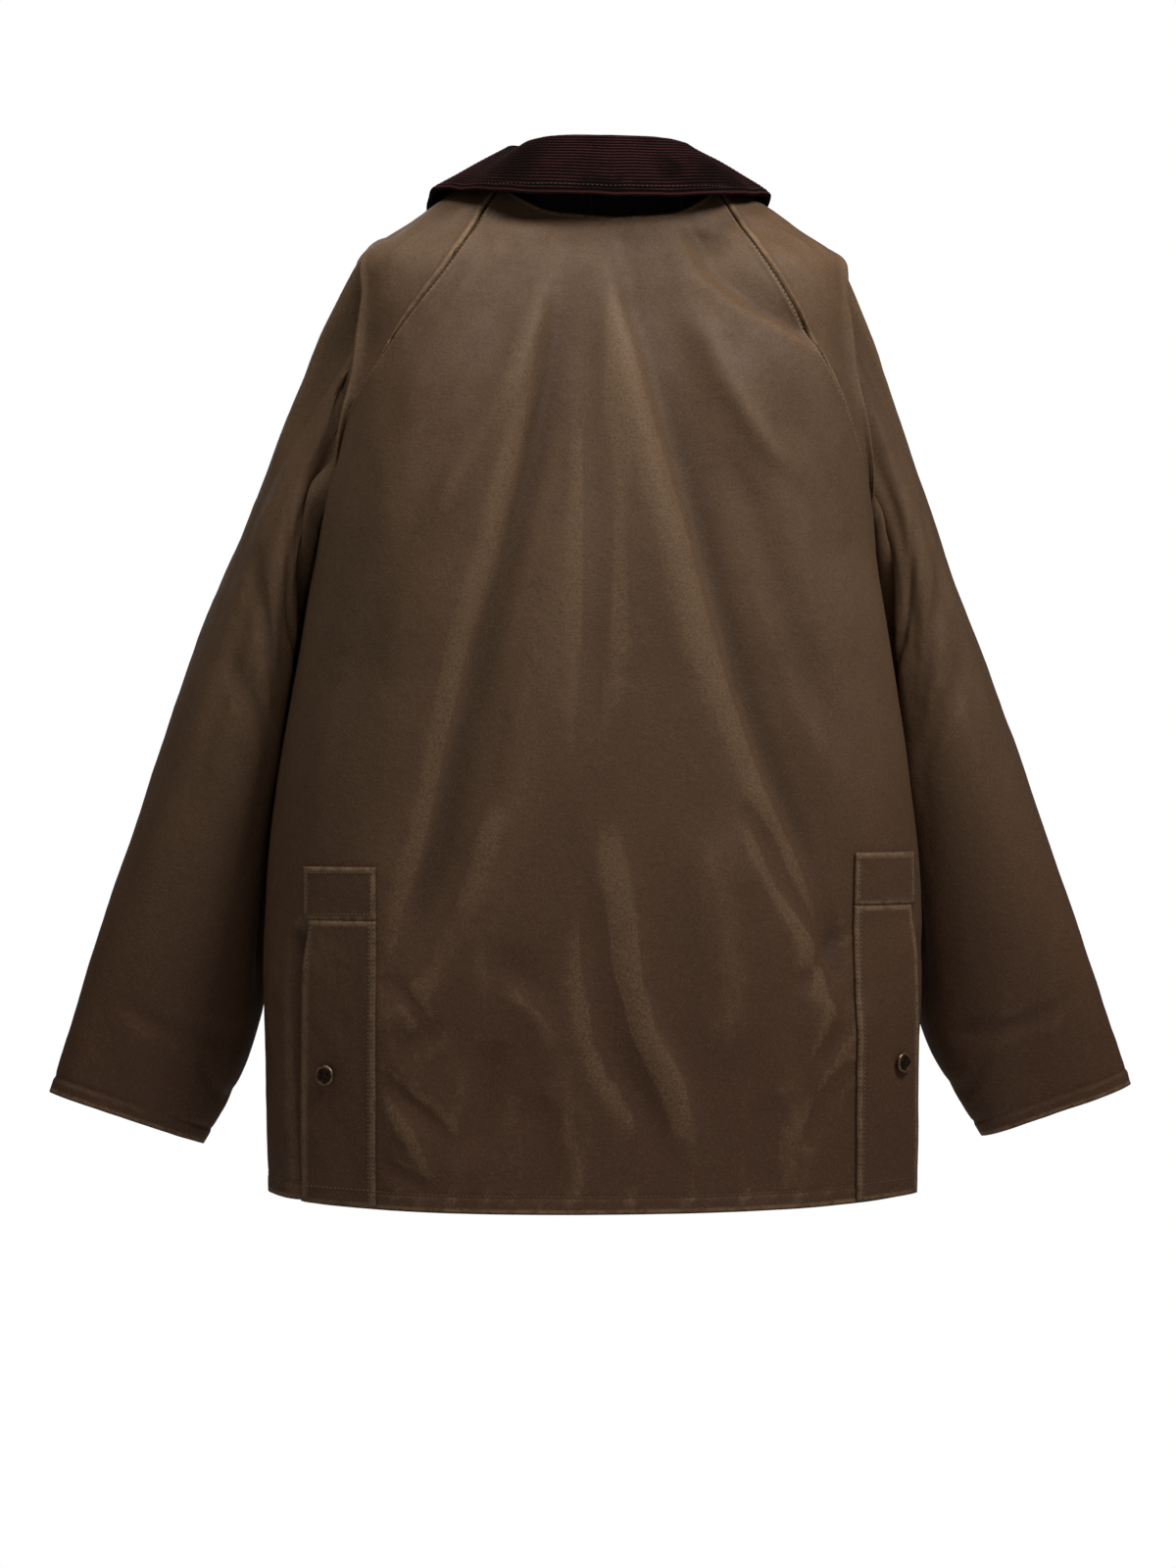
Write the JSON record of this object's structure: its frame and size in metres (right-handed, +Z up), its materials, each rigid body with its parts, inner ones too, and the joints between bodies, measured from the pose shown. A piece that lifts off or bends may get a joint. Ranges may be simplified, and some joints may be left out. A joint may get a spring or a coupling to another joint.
{
  "type": "worn waxed cotton jacket",
  "caption": "Hip-length waxed cotton jacket with raglan sleeves, a folded corduroy collar and studded back vents, keeping the hollow form it has when worn.",
  "frame": {"origin": "middle of the neck opening at the height of the nape seam, where the wearer holds the jacket up", "axes": "+Z up, the wearer faces -Y, +X to the wearer's left"},
  "size_m": [0.832, 0.2791, 0.797],
  "materials": {
    "waxed_cotton": "waxed, slightly sheeny",
    "waxed_cotton_trim": "waxed, slightly sheeny",
    "corduroy": "fine wale corduroy",
    "undercollar_cloth": "plain woven lining",
    "aged_brass": "antiqued"
  },
  "bodies": {
    "root": {"back": "waxed_cotton", "front_left": "waxed_cotton", "front_right": "waxed_cotton", "sleeve_left": "waxed_cotton", "sleeve_right": "waxed_cotton", "vent_strip_left": "waxed_cotton_trim", "vent_patch_left": "waxed_cotton_trim", "vent_stud_left": "aged_brass", "vent_strip_right": "waxed_cotton_trim", "vent_patch_right": "waxed_cotton_trim", "vent_stud_right": "aged_brass", "fly": "waxed_cotton_trim", "fly_stud_1": "aged_brass", "fly_stud_2": "aged_brass", "fly_stud_3": "aged_brass", "fly_stud_4": "aged_brass", "fly_stud_5": "aged_brass", "collar_top": "corduroy", "collar_under": "undercollar_cloth"}
  },
  "joints": []
}
